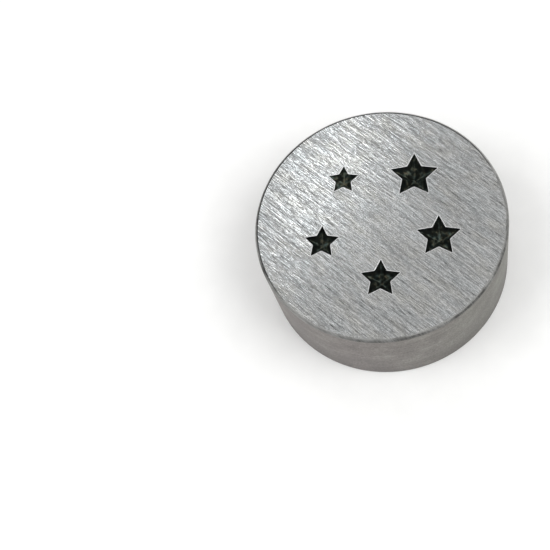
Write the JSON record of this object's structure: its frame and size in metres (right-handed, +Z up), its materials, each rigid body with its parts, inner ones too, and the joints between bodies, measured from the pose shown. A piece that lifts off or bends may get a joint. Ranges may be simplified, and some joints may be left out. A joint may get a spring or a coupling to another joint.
{
  "type": "star impression die",
  "caption": "Solid steel disc with a ring of graded star-shaped cavities sunk into its flat ground face, for pressing domed, faceted stars into sheet metal.",
  "frame": {"origin": "centre of the base face, which the die rests on", "axes": "+Z up out of the working face; +Y towards the upper point of every star; +X to the right of someone who sees the stars upright"},
  "size_m": [0.0444, 0.0444, 0.0175],
  "materials": {
    "tool_steel": "satin linear grain on the working face, matte on the side wall, near-black spark-eroded surface in the cavities"
  },
  "bodies": {
    "root": {"die_block": "tool_steel"}
  },
  "joints": []
}
